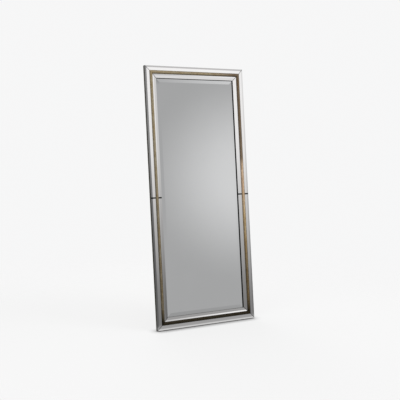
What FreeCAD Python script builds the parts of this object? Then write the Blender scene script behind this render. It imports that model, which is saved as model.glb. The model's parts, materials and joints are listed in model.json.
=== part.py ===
"""Full-length leaning mirror with a mirror-clad frame, in millimetres.

+Z is up, the mirror faces -Y and leans back towards +Y. The origin is the bottom centre of the whole
mirror's bounding box, as it stands leaning.

The frame is drawn upright first, in these coordinates:
  u  distance in from the frame's outer edge, towards the middle of the mirror
  d  height in front of the frame's back plane
  s  distance along a side, from its bottom (stiles) or its right-hand end (rails)
A section is drawn in u and d, run along s, cut to its mitres and turned to its side of the frame.
"""
import FreeCAD, Part
import math
import os

# ---------------------------------------------------------------- driving dimensions
# Whole frame
HEIGHT = 1700.0               # along the frame, outer edge to outer edge
WIDTH = 730.0
LEAN_DEG = 6.0                # how far it leans back from upright

# Face of the frame, from the outer edge in: outer glass strip, round bead, inner glass strip
OUTER_STRIP_W = 30.0
BEAD_W = 22.0
INNER_STRIP_W = 25.0
GLUE_GAP = 0.3                # between the bead and the strip on each side of it

# Wooden carcass
SIDE_H = 19.5                 # height of the frame's outer side
OUTER_SLOPE_DEG = 5.0         # the outer strip rises towards the bead
BEAD_SEAT_D = 17.0            # floor of the groove that holds the bead
INNER_SEAT_D = 18.5           # seat of the inner strip, beside the bead
INNER_SLOPE_DEG = 6.0         # the inner strip falls towards the plate
LIP_T = 3.9                   # wood in front of the plate, at the sight edge
BACK_ARRIS = 1.5              # eased edge round the frame's back

# Mirror glass strips
GLASS_T = 4.0
GLASS_EDGE_T = 2.5            # left at the thin edge of a bevel
OUTER_BEVEL_W = 11.0
INNER_BEVEL_W = 16.5
MITRE_GAP = 0.5               # between two strips at a corner
SEAM_GAP = 1.2                # between two strips halfway up a stile
MITRE_GRIND = 0.9             # ground arris of a mitred end
SEAM_GRIND = 1.8              # ground arris of a square end

# Bead
BEAD_SIDE_H = 7.5             # straight side above the groove's floor
BEAD_RISE = 7.0               # height of its round top

# Mirror plate and backing
PLATE_T = 5.0
PLATE_EDGE_T = 4.0
PLATE_BEVEL_W = 32.0
PLATE_LAP = 6.0               # how far the plate runs behind the lip
PLATE_CLEARANCE = 2.0         # round the plate, in the rebate
PLATE_FOOT_CLEARANCE = 0.2    # under the plate: it stands on the rebate
GLAZING_GAP = 0.2             # between the plate's bevel and the lip
BACKING_T = 3.0
BACKING_CLEARANCE = 1.0       # round the backing board, in the rebate

# Biscuits inside the mitres
BISCUIT_L = 56.0
BISCUIT_W = 23.0
BISCUIT_T = 4.0
BISCUIT_D = 8.0               # middle of the biscuit, above the back plane
BISCUIT_FIT = 0.15            # slot clearance on every side

# Pan-head wood screws, drawn with few sides
SCREW_SIDES = 8
SCREW_R = 1.75
SCREW_HEAD_R = 3.6
SCREW_HEAD_TOP_R = 2.6
SCREW_HEAD_H = 2.0
SCREW_TIP_R = 0.5
SCREW_TIP_L = 3.0
SCREW_BITE = 11.5             # depth in the wood
PILOT_FIT = 0.08              # radial clearance of the hole in the wood
HOLE_FIT = 0.35               # radial clearance of the hole in the metal

# Flat corner braces on the back
BRACE_INSET = 32.0            # middle of a leg, in from the outer edge
BRACE_LEG_W = 18.0
BRACE_LEG_L = 96.0            # from the frame's outer edge to the end of a leg
BRACE_T = 2.0
BRACE_ROUND = 4.0
BRACE_SCREW_S = (54.0, 84.0)  # along each leg, from the frame's outer edge

# Offset clips that hold the backing board
CLIP_T = 1.2
CLIP_W = 14.0
CLIP_FOOT_L = 21.0            # part on the frame's back, to the edge of the rebate
CLIP_TONGUE_L = 10.0          # part on the board
CLIP_CORNER = 3.0             # cut off each corner
CLIP_SCREW_BACK = 12.5        # screw, from the edge of the rebate
CLIPS_PER_STILE = 4
CLIPS_PER_RAIL = 2

# Strap hangers with a swinging D-ring, one on each stile
HANGER_DROP = 400.0           # D-ring's pivot, below the top of the frame
HANGER_INSET = 32.0           # middle of the strap, in from the outer edge
STRAP_W = 16.0
STRAP_T = 1.5
STRAP_L = 66.0                # from the pivot to the end of the strap
STRAP_ROUND = 5.0
STRAP_SCREWS = (28.0, 43.0, 58.0)     # below the pivot
RING_WIRE_R = 2.0
RING_SIDES = 8                # of the wire's section
RING_STEP_DEG = 15.0          # of bend in each straight length of the wire
RING_FIT = 0.08               # radial clearance of the ring's bar in the strap's eye
RING_R = 15.0                 # middle of the wire, round part
RING_CORNER_R = 4.0
EYE_SLIT = 0.4                # where the rolled strap meets itself

# Fold-out leg: a batten across the stiles, a clevis on it, and a leg that swings on a pin
BATTEN_DROP = 520.0           # middle of the batten, below the top of the frame
BATTEN_W = 56.0
BATTEN_T = 12.0
BATTEN_INSET = 12.0           # its ends, in from the frame's sides
BATTEN_ARRIS = 1.5
BATTEN_SCREWS = ((26.0, -14.0), (52.0, 14.0))  # in from the frame's side, up from the batten's middle
CLEVIS_W = 84.0
CLEVIS_H = 52.0
CLEVIS_T = 2.0
CLEVIS_RISE = 4.0             # middle of its plate, above the pivot
CLEVIS_CORNER = 4.0
CLEVIS_SCREWS = (33.0, 18.0)  # across and up from the middle of its plate
EAR_R = 10.0                  # round the pin
LEG_T = 15.0
LEG_TOP_W = 44.0
LEG_FOOT_W = 84.0
LEG_HEEL = 24.0               # part above the pivot; it stops on the clevis when the leg is out
LEG_ARRIS = 1.5
LEG_ANGLE_DEG = 5.5           # the leg leans forward this far from upright
LEG_BACK_GAP = 2.5            # between the folded leg and the clevis
LEG_SIDE_GAP = 0.5            # between the leg and each ear
LEG_STOP_GAP = 0.1            # between its heel and the clevis when it is out
LEG_PAD_T = 3.0               # rubber under the leg
PIN_R = 4.0
PIN_FIT = 0.15
PIN_HEAD_R = 6.5
PIN_HEAD_T = 2.0

# Rubber
BUMPER_R = 9.0
BUMPER_TIP_R = 6.5
BUMPER_H = 8.0
BUMPER_INSET = 11.0           # middle of a bumper, in from both outer edges
FOOT_L = 60.0
FOOT_DEPTH = 15.0
FOOT_T = 3.0                  # at the pad's back edge; its sole is level when the mirror leans
FOOT_CORNER = 4.0             # cut off each corner
FOOT_INSET = 45.0             # outer end of a foot pad, in from the frame's side
FOOT_BACK = 2.0               # back of a foot pad, in front of the back plane

# ---------------------------------------------------------------- places worked out from them
BEAD_U = OUTER_STRIP_W + GLUE_GAP
INNER_U = BEAD_U + BEAD_W + GLUE_GAP
SIGHT_U = INNER_U + INNER_STRIP_W             # edge of the opening over the plate
PLATE_U = SIGHT_U - PLATE_LAP
REBATE_U = PLATE_U - PLATE_CLEARANCE
BACKING_U = REBATE_U + BACKING_CLEARANCE


def outer_seat(u):
    """Height of the carcass under the outer strip."""
    return SIDE_H + u * math.tan(math.radians(OUTER_SLOPE_DEG))


def inner_seat(u):
    """Height of the carcass under the inner strip."""
    return INNER_SEAT_D - (u - INNER_U) * math.tan(math.radians(INNER_SLOPE_DEG))


LIP_BACK_D = inner_seat(SIGHT_U) - LIP_T
BEVEL_LEFT_AT_LIP = max(0.0, 1.0 - PLATE_LAP / PLATE_BEVEL_W)
PLATE_FRONT_D = LIP_BACK_D - GLAZING_GAP + (PLATE_T - PLATE_EDGE_T) * BEVEL_LEFT_AT_LIP
PLATE_BACK_D = PLATE_FRONT_D - PLATE_T
BACKING_BACK_D = PLATE_BACK_D - BACKING_T
PIVOT_OUT = STRAP_T + RING_FIT + RING_WIRE_R  # the D-ring's pivot, behind the back plane
PIVOT_Z = HEIGHT - HANGER_DROP
BATTEN_Z = HEIGHT - BATTEN_DROP               # the leg's pivot is level with it
CLEVIS_BACK = BATTEN_T + CLEVIS_T             # rear face of the clevis' plate, behind the back plane
LEG_PIVOT_OUT = CLEVIS_BACK + LEG_BACK_GAP + LEG_T / 2
LEG_OPEN_DEG = LEAN_DEG + LEG_ANGLE_DEG       # from folded flat to standing


def floor_z(y):
    """Height of the floor in the upright drawing, where it slopes because the mirror leans."""
    return (y + FOOT_BACK) * math.tan(math.radians(LEAN_DEG)) - FOOT_T


# ---------------------------------------------------------------- helpers
def at(u, d, s=0.0):
    """A point of a section."""
    return FreeCAD.Vector(u, -d, s)


def polygon(points):
    """Closed flat face through the points."""
    return Part.Face(Part.makePolygon(points + points[:1]))


def flat_sided(rings, closed=False):
    """Solid with flat sides through rings of points; closed joins the last ring to the first."""
    faces = [] if closed else [polygon(rings[0]), polygon(rings[-1])]
    following = rings[1:] + rings[:1] if closed else rings[1:]
    for ring, after in zip(rings, following):
        for number in range(len(ring)):
            faces.append(polygon([ring[number - 1], ring[number], after[number], after[number - 1]]))
    return Part.Solid(Part.Shell(faces))


def turned(shape, side):
    """Turns a piece drawn along s to its side of the frame."""
    piece = shape.copy()
    across = FreeCAD.Vector(0, 1, 0)
    if side in ("bottom", "top"):
        piece.rotate(FreeCAD.Vector(0, 0, 0), across, -90)
        piece.translate(FreeCAD.Vector(WIDTH / 2, 0, 0))
    else:
        piece.translate(FreeCAD.Vector(-WIDTH / 2, 0, 0))
    if side in ("right", "top"):
        piece.rotate(FreeCAD.Vector(0, 0, HEIGHT / 2), across, 180)
    return piece


def side_length(side):
    return WIDTH if side in ("bottom", "top") else HEIGHT


def run(section, low_end, high_end):
    """Runs a section along s between two ends, each given as (s at u = 0, change of s with u)."""
    reach = SIGHT_U + 1.0
    deep = HEIGHT
    length = abs(high_end[0] - low_end[0]) + 2 * reach
    stock = section.copy()
    stock.translate(FreeCAD.Vector(0, 0, low_end[0] - reach))
    stock = stock.extrude(FreeCAD.Vector(0, 0, length))
    corners = [(-reach, low_end), (reach, low_end), (reach, high_end), (-reach, high_end)]
    outline = [at(u, -deep, end[0] + u * end[1]) for u, end in corners]
    keep = polygon(outline).extrude(FreeCAD.Vector(0, -2 * deep, 0))
    return stock.common(keep)


def mitred(section, side, gap=0.0):
    """A whole side of the frame, mitred at both ends."""
    offset = gap / math.sqrt(2)
    return run(section, (offset, 1), (side_length(side) - offset, -1))


def ground(piece, seat, size, on_end):
    """Grinds an arris on the front edges of an end of a glass strip."""
    edges = []
    for edge in piece.Edges:
        corners = [vertex.Point for vertex in edge.Vertexes]
        in_front = all(-p.y > seat(p.x) + GLASS_EDGE_T / 2 for p in corners)
        if in_front and all(abs(on_end(p.x, p.z)) < 0.01 for p in corners):
            edges.append(edge)
    return piece.makeChamfer(size, edges)


# ---------------------------------------------------------------- wooden carcass
def carcass_section():
    return polygon([
        at(BACK_ARRIS, 0),
        at(0, BACK_ARRIS),
        at(0, outer_seat(0)),
        at(OUTER_STRIP_W, outer_seat(OUTER_STRIP_W)),
        at(OUTER_STRIP_W, BEAD_SEAT_D),
        at(INNER_U, BEAD_SEAT_D),
        at(INNER_U, inner_seat(INNER_U)),
        at(SIGHT_U, inner_seat(SIGHT_U)),
        at(SIGHT_U, LIP_BACK_D),
        at(REBATE_U, LIP_BACK_D),
        at(REBATE_U, 0),
    ])


def biscuit(clearance=0.0):
    """Lens-shaped biscuit across the mitre at the low end of a side, long way along the mitre."""
    half_l = BISCUIT_L / 2 + clearance
    half_w = BISCUIT_W / 2 + clearance
    ends = [FreeCAD.Vector(-half_l, 0, 0), FreeCAD.Vector(half_l, 0, 0)]
    arcs = [Part.Arc(ends[0], FreeCAD.Vector(0, 0, sign * half_w), ends[1]).toShape() for sign in (1, -1)]
    thickness = BISCUIT_T + 2 * clearance
    lens = Part.Face(Part.Wire(arcs)).extrude(FreeCAD.Vector(0, thickness, 0))
    lens.rotate(FreeCAD.Vector(0, 0, 0), FreeCAD.Vector(0, 1, 0), -45)
    middle = REBATE_U / 2
    lens.translate(at(middle, BISCUIT_D + thickness / 2, middle))
    return lens


def carcass_side(side, drills):
    """One rail or stile, slotted for its biscuits and drilled for its screws."""
    solid = turned(mitred(carcass_section(), side), side)
    slots = [turned(biscuit(BISCUIT_FIT), corner) for corner in ("left", "right", "top", "bottom")]
    return solid.cut(slots + drills)


# ---------------------------------------------------------------- glass strips and bead
def outer_strip_section():
    edge = OUTER_STRIP_W
    return polygon([
        at(0, outer_seat(0)),
        at(edge, outer_seat(edge)),
        at(edge, outer_seat(edge) + GLASS_T),
        at(OUTER_BEVEL_W, outer_seat(OUTER_BEVEL_W) + GLASS_T),
        at(0, outer_seat(0) + GLASS_EDGE_T),
    ])


def inner_strip_section():
    bevel_u = SIGHT_U - INNER_BEVEL_W
    return polygon([
        at(INNER_U, inner_seat(INNER_U)),
        at(SIGHT_U, inner_seat(SIGHT_U)),
        at(SIGHT_U, inner_seat(SIGHT_U) + GLASS_EDGE_T),
        at(bevel_u, inner_seat(bevel_u) + GLASS_T),
        at(INNER_U, inner_seat(INNER_U) + GLASS_T),
    ])


def rail_strip(section, seat, side):
    """Strip along a rail, mitred and ground at both ends."""
    offset = MITRE_GAP / math.sqrt(2)
    far = WIDTH - offset
    strip = mitred(section, side, MITRE_GAP)
    strip = ground(strip, seat, MITRE_GRIND, lambda u, s: s - u - offset)
    strip = ground(strip, seat, MITRE_GRIND, lambda u, s: s + u - far)
    return turned(strip, side)


def stile_strip(section, seat, side, half):
    """Half of the strip along a stile: one end mitred, the other square at the seam."""
    offset = MITRE_GAP / math.sqrt(2)
    near_seam = (HEIGHT - SEAM_GAP) / 2
    strip = run(section, (offset, 1), (near_seam, 0))
    strip = ground(strip, seat, MITRE_GRIND, lambda u, s: s - u - offset)
    strip = ground(strip, seat, SEAM_GRIND, lambda u, s: s - near_seam)
    if half == "upper":
        strip = strip.mirror(FreeCAD.Vector(0, 0, HEIGHT / 2), FreeCAD.Vector(0, 0, 1))
    if side == "right":
        strip = strip.mirror(FreeCAD.Vector(WIDTH / 2, 0, 0), FreeCAD.Vector(1, 0, 0))
    strip.translate(FreeCAD.Vector(-WIDTH / 2, 0, 0))
    return strip


def bead_section():
    """Straight sides and a round top."""
    low = BEAD_U
    high = BEAD_U + BEAD_W
    spring = BEAD_SEAT_D + BEAD_SIDE_H
    crown = at((low + high) / 2, spring + BEAD_RISE)
    sides = Part.makePolygon([at(high, spring), at(high, BEAD_SEAT_D), at(low, BEAD_SEAT_D), at(low, spring)])
    top = Part.Arc(at(low, spring), crown, at(high, spring)).toShape()
    return Part.Face(Part.Wire(sides.Edges + [top]))


# ---------------------------------------------------------------- plate and backing
def rectangle(u, d, foot=0.0):
    """Corners round the frame's opening, u in from the outer edge; foot raises the lower two."""
    x = WIDTH / 2 - u
    corners = [(-x, u + foot), (x, u + foot), (x, HEIGHT - u), (-x, HEIGHT - u)]
    return [FreeCAD.Vector(px, -d, pz) for px, pz in corners]


def mirror_plate():
    """Plate with a wide bevel all round; it stands on the bottom of the rebate."""
    foot = PLATE_FOOT_CLEARANCE - PLATE_CLEARANCE
    return flat_sided([
        rectangle(PLATE_U, PLATE_BACK_D, foot),
        rectangle(PLATE_U, PLATE_BACK_D + PLATE_EDGE_T, foot),
        rectangle(PLATE_U + PLATE_BEVEL_W, PLATE_FRONT_D, foot),
    ])


def backing_board():
    face = polygon(rectangle(BACKING_U, BACKING_BACK_D))
    return face.extrude(FreeCAD.Vector(0, -BACKING_T, 0))


# ---------------------------------------------------------------- screws, braces and clips
def stacked(rings):
    """Solid through few-sided rings round the Y axis, each given as (y, radius)."""
    angles = [2 * math.pi * (number + 0.5) / SCREW_SIDES for number in range(SCREW_SIDES)]
    return flat_sided([[FreeCAD.Vector(radius * math.cos(a), y, radius * math.sin(a)) for a in angles]
                       for y, radius in rings])


def screw(u, seat_out, s):
    """Pan-head screw driven into the frame's back; its head sits seat_out behind the back plane."""
    point = -SCREW_BITE - seat_out
    shank = stacked([(point, SCREW_TIP_R), (point + SCREW_TIP_L, SCREW_R), (0, SCREW_R)])
    head = stacked([(0, SCREW_HEAD_R), (SCREW_HEAD_H, SCREW_HEAD_TOP_R)])
    solid = head.fuse(shank)
    solid.translate(at(u, -seat_out, s))
    return solid


def drill(u, radius, depth, s, mouth=0.0):
    """Hole for a screw into the frame's back, or through metal that lies on it."""
    hole = stacked([(-depth, radius), (mouth, radius)])
    hole.translate(at(u, 0, s))
    return hole


def pilot(u, s):
    return drill(u, SCREW_R + PILOT_FIT, SCREW_BITE + PILOT_FIT, s)


def clearance_hole(u, s, thickness):
    return drill(u, SCREW_R + HOLE_FIT, thickness, s, mouth=2 * thickness)


def brace_screw_spots():
    """(u, s) of the screws of the brace at the low end of a side."""
    upright = [(BRACE_INSET, s) for s in BRACE_SCREW_S]
    level = [(s, BRACE_INSET) for s in BRACE_SCREW_S]
    return upright + level


def corner_brace():
    """Flat L at the low end of a side."""
    low = BRACE_INSET - BRACE_LEG_W / 2
    high = BRACE_INSET + BRACE_LEG_W / 2
    end = BRACE_LEG_L
    outline = [(low, low), (end, low), (end, high), (high, high), (high, end), (low, end)]
    plate = polygon([at(u, 0, s) for u, s in outline]).extrude(FreeCAD.Vector(0, BRACE_T, 0))
    plate = plate.makeFillet(BRACE_ROUND, lengthwise(plate, FreeCAD.Vector(0, 1, 0)))
    return plate.cut([clearance_hole(u, s, BRACE_T) for u, s in brace_screw_spots()])


def backing_clip():
    """Stepped clip: its foot is on the frame's back, its tongue on the backing board."""
    step = BACKING_BACK_D
    bend = REBATE_U + BACKING_CLEARANCE / 2
    toe = REBATE_U - CLIP_FOOT_L
    tip = bend + step + CLIP_TONGUE_L
    section = polygon([
        at(toe, 0), at(bend, 0), at(bend + step, step), at(tip, step),
        at(tip, step - CLIP_T), at(bend + step, step - CLIP_T), at(bend, -CLIP_T), at(toe, -CLIP_T),
    ])
    section.translate(FreeCAD.Vector(0, 0, -CLIP_W / 2))
    strip = section.extrude(FreeCAD.Vector(0, 0, CLIP_W))
    corners = [e for e in lengthwise(strip, FreeCAD.Vector(0, 1, 0)) if e.Length < CLIP_T * 1.01]
    strip = strip.makeChamfer(CLIP_CORNER, corners)
    return strip.cut(clearance_hole(REBATE_U - CLIP_SCREW_BACK, 0, CLIP_T))


def clip_spots():
    """(side, s) of every clip, evenly spaced along the opening."""
    spots = []
    for side in ("left", "right", "top", "bottom"):
        count = CLIPS_PER_STILE if side in ("left", "right") else CLIPS_PER_RAIL
        opening = side_length(side) - 2 * REBATE_U
        for number in range(count):
            spots.append((side, REBATE_U + opening * (number + 0.5) / count))
    return spots


# ---------------------------------------------------------------- strap hangers
def hanger_strap():
    """Flat strap on the left stile, rolled at its upper end into an eye for the D-ring's bar."""
    eye_r = RING_WIRE_R + RING_FIT
    outline = [(-STRAP_W / 2, 0), (STRAP_W / 2, 0), (STRAP_W / 2, -STRAP_L), (-STRAP_W / 2, -STRAP_L)]
    flat = polygon([at(HANGER_INSET + u, 0, PIVOT_Z + s) for u, s in outline])
    flat = flat.extrude(FreeCAD.Vector(0, STRAP_T, 0))
    ends = lengthwise(flat, FreeCAD.Vector(0, 1, 0))
    lower = [e for e in ends if e.Vertexes[0].Point.z < PIVOT_Z - STRAP_L / 2]
    flat = flat.makeFillet(STRAP_ROUND, lower)
    start = at(HANGER_INSET - STRAP_W / 2, -PIVOT_OUT, PIVOT_Z)
    along = FreeCAD.Vector(1, 0, 0)
    roll = Part.makeCylinder(eye_r + STRAP_T, STRAP_W, start, along)
    bore = Part.makeCylinder(eye_r, STRAP_W, start, along)
    strap = flat.fuse(roll).removeSplitter().cut(bore)
    slit = Part.makeBox(STRAP_W, EYE_SLIT, eye_r + STRAP_T, at(HANGER_INSET - STRAP_W / 2, -STRAP_T,
                                                                PIVOT_Z - eye_r - STRAP_T))
    holes = [clearance_hole(HANGER_INSET, PIVOT_Z - drop, STRAP_T) for drop in STRAP_SCREWS]
    return strap.cut([slit] + holes)


def wire_section(x, radius, turn):
    """Corners of the wire's section, at an angle along a bend round (x, -RING_CORNER_R)."""
    points = []
    for number in range(RING_SIDES):
        angle = 2 * math.pi * (number + 0.5) / RING_SIDES
        out = radius + RING_WIRE_R * math.cos(angle)
        points.append(FreeCAD.Vector(x + out * math.cos(turn), RING_WIRE_R * math.sin(angle),
                                     out * math.sin(turn) - RING_CORNER_R))
    return points


def d_ring():
    """Wire bent to a D. Its straight bar turns in the strap's eye; it hangs plumb."""
    reach = RING_R - RING_CORNER_R
    bends = [(reach, RING_CORNER_R, 90, 0), (0, RING_R, 0, -180), (-reach, RING_CORNER_R, -180, -270)]
    sections = []
    for x, radius, start, end in bends:
        steps = round((start - end) / RING_STEP_DEG)
        turns = [start + (end - start) * number / steps for number in range(steps)]
        sections += [wire_section(x, radius, math.radians(turn)) for turn in turns]
    sections.append(wire_section(-reach, RING_CORNER_R, math.radians(-270)))
    ring = flat_sided(sections, True)
    ring.rotate(FreeCAD.Vector(0, 0, 0), FreeCAD.Vector(1, 0, 0), LEAN_DEG)
    ring.translate(at(HANGER_INSET, -PIVOT_OUT, PIVOT_Z))
    return ring


# ---------------------------------------------------------------- fold-out leg
def box_between(low, high):
    """Box between two opposite corners, given as (x, y, z)."""
    sizes = [b - a for a, b in zip(low, high)]
    return Part.makeBox(*sizes, FreeCAD.Vector(*low))


def lengthwise(shape, way):
    """Edges of a shape that run along a direction."""
    return [e for e in shape.Edges if abs(e.tangentAt(e.FirstParameter).dot(way)) > 0.9]


def batten_spots():
    """(u, s) of the batten's screws at its left-hand end."""
    return [(u, BATTEN_Z + rise) for u, rise in BATTEN_SCREWS]


def clevis_spots():
    """(x, z) of the clevis' screws."""
    across, up = CLEVIS_SCREWS
    middle = BATTEN_Z + CLEVIS_RISE
    return [(x, middle + z) for x in (-across, across) for z in (-up, up)]


def behind_batten(shape):
    """Moves a shape drawn on the frame's back to the batten's rear face."""
    shape.translate(FreeCAD.Vector(0, BATTEN_T, 0))
    return shape


def easel_batten(left_holes):
    half = WIDTH / 2 - BATTEN_INSET
    batten = box_between((-half, 0, BATTEN_Z - BATTEN_W / 2), (half, BATTEN_T, BATTEN_Z + BATTEN_W / 2))
    rear = [e for e in batten.Edges if all(v.Point.y > BATTEN_T / 2 for v in e.Vertexes)]
    batten = batten.makeChamfer(BATTEN_ARRIS, rear)
    holes = left_holes + [mirrored(hole) for hole in left_holes]
    return batten.cut(holes + [behind_batten(pilot(x, z)) for x, z in clevis_spots()])


def easel_clevis():
    """Plate on the batten with two round-ended ears for the leg's pin."""
    middle = BATTEN_Z + CLEVIS_RISE
    plate = box_between((-CLEVIS_W / 2, BATTEN_T, middle - CLEVIS_H / 2),
                        (CLEVIS_W / 2, CLEVIS_BACK, middle + CLEVIS_H / 2))
    plate = plate.makeChamfer(CLEVIS_CORNER, lengthwise(plate, FreeCAD.Vector(0, 1, 0)))
    along = FreeCAD.Vector(1, 0, 0)
    ears = []
    for x in (-LEG_TOP_W / 2 - LEG_SIDE_GAP - CLEVIS_T, LEG_TOP_W / 2 + LEG_SIDE_GAP):
        neck = box_between((x, BATTEN_T, BATTEN_Z - EAR_R), (x + CLEVIS_T, LEG_PIVOT_OUT, BATTEN_Z + EAR_R))
        end = Part.makeCylinder(EAR_R, CLEVIS_T, FreeCAD.Vector(x, LEG_PIVOT_OUT, BATTEN_Z), along)
        ears += [neck, end]
    holes = [behind_batten(clearance_hole(x, z, CLEVIS_T)) for x, z in clevis_spots()]
    return plate.fuse(ears).removeSplitter().cut(holes + [pin_bar(PIN_R + PIN_FIT, CLEVIS_W)])


def pin_bar(radius, length):
    """Round bar across the mirror, on the leg's pivot."""
    start = FreeCAD.Vector(-length / 2, LEG_PIVOT_OUT, BATTEN_Z)
    return Part.makeCylinder(radius, length, start, FreeCAD.Vector(1, 0, 0))


def easel_pin():
    """Riveted pin through the ears and the leg."""
    inside = LEG_TOP_W + 2 * (LEG_SIDE_GAP + CLEVIS_T)
    heads = pin_bar(PIN_HEAD_R, inside + 2 * PIN_HEAD_T).cut(pin_bar(PIN_HEAD_R, inside))
    return pin_bar(PIN_R, inside + 2 * PIN_HEAD_T).fuse(heads).removeSplitter()


def leg_blank():
    """Leg with its pad, swung out to where it stands, still too long."""
    shoulder = -EAR_R
    foot = floor_z(0) - BATTEN_Z
    spread = (LEG_FOOT_W - LEG_TOP_W) / 2 / (shoulder - foot)
    reach = foot - 4 * LEG_PAD_T
    top = LEG_TOP_W / 2
    toe = top + spread * (shoulder - reach)
    right_half = [(top, LEG_HEEL), (top, shoulder), (toe, reach)]
    outline = right_half + [(-x, z) for x, z in reversed(right_half)]
    face = polygon([FreeCAD.Vector(x, -LEG_T / 2, z) for x, z in outline])
    blank = face.extrude(FreeCAD.Vector(0, LEG_T, 0))
    blank = blank.makeChamfer(LEG_ARRIS, lengthwise(blank, FreeCAD.Vector(0, 0, 1)))
    blank.rotate(FreeCAD.Vector(0, 0, 0), FreeCAD.Vector(1, 0, 0), LEG_OPEN_DEG)
    blank.translate(FreeCAD.Vector(0, LEG_PIVOT_OUT, BATTEN_Z))
    return blank


def above_floor(low, high):
    """Everything between two heights above the floor."""
    start = floor_z(0)
    slab = box_between((-WIDTH / 2, -HEIGHT, start + low), (WIDTH / 2, HEIGHT, start + high))
    slab.rotate(FreeCAD.Vector(0, 0, start), FreeCAD.Vector(1, 0, 0), LEAN_DEG)
    return slab


def easel_leg():
    """Tapered leg; its heel is cut to lie on the clevis when the leg is out."""
    leg = leg_blank().common(above_floor(LEG_PAD_T, HEIGHT))
    stop = CLEVIS_BACK + LEG_STOP_GAP
    heel_room = box_between((-LEG_TOP_W, stop - LEG_T, BATTEN_Z - LEG_HEEL),
                            (LEG_TOP_W, stop, BATTEN_Z + 2 * LEG_HEEL))
    return leg.cut([heel_room, pin_bar(PIN_R + PIN_FIT, CLEVIS_W)])


def easel_leg_pad():
    return leg_blank().common(above_floor(0, LEG_PAD_T))


# ---------------------------------------------------------------- rubber
def wall_bumper():
    """Tapered round pad behind the corner at the low end of a side."""
    base = at(BUMPER_INSET, 0, BUMPER_INSET)
    return Part.makeCone(BUMPER_R, BUMPER_TIP_R, BUMPER_H, base, FreeCAD.Vector(0, 1, 0))


def foot_pad():
    """Pad under the bottom rail, at its left-hand end, with a sole that is level when the mirror leans."""
    back = -FOOT_BACK
    front = -FOOT_BACK - FOOT_DEPTH
    outline = [(back, 0), (back, floor_z(back)), (front, floor_z(front)), (front, 0)]
    pad = polygon([FreeCAD.Vector(FOOT_INSET - WIDTH / 2, y, z) for y, z in outline])
    pad = pad.extrude(FreeCAD.Vector(FOOT_L, 0, 0))
    return pad.makeChamfer(FOOT_CORNER, lengthwise(pad, FreeCAD.Vector(0, 0, 1)))


# ---------------------------------------------------------------- assembly
def mirrored(shape):
    """The same piece on the other side of the mirror's middle."""
    return shape.mirror(FreeCAD.Vector(0, 0, 0), FreeCAD.Vector(1, 0, 0))


def pair(name, left):
    return {name + "_left": left, name + "_right": mirrored(left)}


def upright_frame():
    """Every piece by name, drawn upright with the frame's bottom back edge on the X axis."""
    pieces = {"mirror_plate": mirror_plate(), "backing_board": backing_board()}
    sides = ("top", "bottom", "left", "right")
    corners = {"bottom_left": "left", "top_left": "top", "top_right": "right", "bottom_right": "bottom"}

    clips = clip_spots()
    brace_spots = [(side, u, s) for side in corners.values() for u, s in brace_screw_spots()]
    clip_u = REBATE_U - CLIP_SCREW_BACK
    strap_spots = [(HANGER_INSET, PIVOT_Z - drop) for drop in STRAP_SCREWS]
    end_spots = batten_spots()

    drills = [turned(pilot(u, s), side) for side, u, s in brace_spots]
    drills += [turned(pilot(clip_u, s), side) for side, s in clips]
    left_drills = [turned(pilot(u, s), "left") for u, s in strap_spots + end_spots]
    drills += left_drills + [mirrored(hole) for hole in left_drills]

    for side in sides:
        kind = "stile" if side in ("left", "right") else "rail"
        pieces["carcass_" + side + "_" + kind] = carcass_side(side, drills)
        pieces["bead_" + side] = turned(mitred(bead_section(), side), side)

    strips = {"outer": (outer_strip_section(), outer_seat), "inner": (inner_strip_section(), inner_seat)}
    for ring, (section, seat) in strips.items():
        for side in ("top", "bottom"):
            pieces[ring + "_strip_" + side] = rail_strip(section, seat, side)
        for side in ("left", "right"):
            for half in ("upper", "lower"):
                pieces[ring + "_strip_" + side + "_" + half] = stile_strip(section, seat, side, half)

    pieces["mitre_biscuits"] = Part.Compound([turned(biscuit(), side) for side in corners.values()])
    bumpers = []
    for corner, side in corners.items():
        pieces["corner_brace_" + corner] = turned(corner_brace(), side)
        bumpers.append(turned(wall_bumper(), side))
    pieces["wall_bumpers"] = Part.Compound(bumpers)
    pieces["brace_screws"] = Part.Compound([turned(screw(u, BRACE_T, s), side) for side, u, s in brace_spots])

    placed_clips = []
    clip_screws = []
    for side, s in clips:
        clip = backing_clip()
        clip.translate(FreeCAD.Vector(0, 0, s))
        placed_clips.append(turned(clip, side))
        clip_screws.append(turned(screw(clip_u, CLIP_T, s), side))
    pieces["backing_clips"] = Part.Compound(placed_clips)
    pieces["clip_screws"] = Part.Compound(clip_screws)

    pieces.update(pair("hanger_strap", turned(hanger_strap(), "left")))
    pieces.update(pair("d_ring", turned(d_ring(), "left")))
    left_screws = [turned(screw(u, STRAP_T, s), "left") for u, s in strap_spots]
    pieces["hanger_screws"] = Part.Compound(left_screws + [mirrored(piece) for piece in left_screws])
    pieces.update(pair("foot_pad", foot_pad()))

    left_holes = [turned(clearance_hole(u, s, BATTEN_T), "left") for u, s in end_spots]
    pieces["easel_batten"] = easel_batten(left_holes)
    left_screws = [turned(screw(u, BATTEN_T, s), "left") for u, s in end_spots]
    pieces["batten_screws"] = Part.Compound(left_screws + [mirrored(piece) for piece in left_screws])
    pieces["easel_clevis"] = easel_clevis()
    pieces["clevis_screws"] = Part.Compound([behind_batten(screw(x, CLEVIS_T, z)) for x, z in clevis_spots()])
    pieces["easel_pin"] = easel_pin()
    pieces["easel_leg"] = easel_leg()
    pieces["easel_leg_pad"] = easel_leg_pad()
    return pieces


def leaning(pieces):
    """Leans the frame back and puts the bottom centre of its bounding box at the origin."""
    for shape in pieces.values():
        shape.rotate(FreeCAD.Vector(0, 0, 0), FreeCAD.Vector(1, 0, 0), -LEAN_DEG)
    box = Part.Compound(list(pieces.values())).optimalBoundingBox(False, False)
    shift = FreeCAD.Vector(0, -(box.YMin + box.YMax) / 2, -box.ZMin)
    for shape in pieces.values():
        shape.translate(shift)
    return shift


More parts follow.
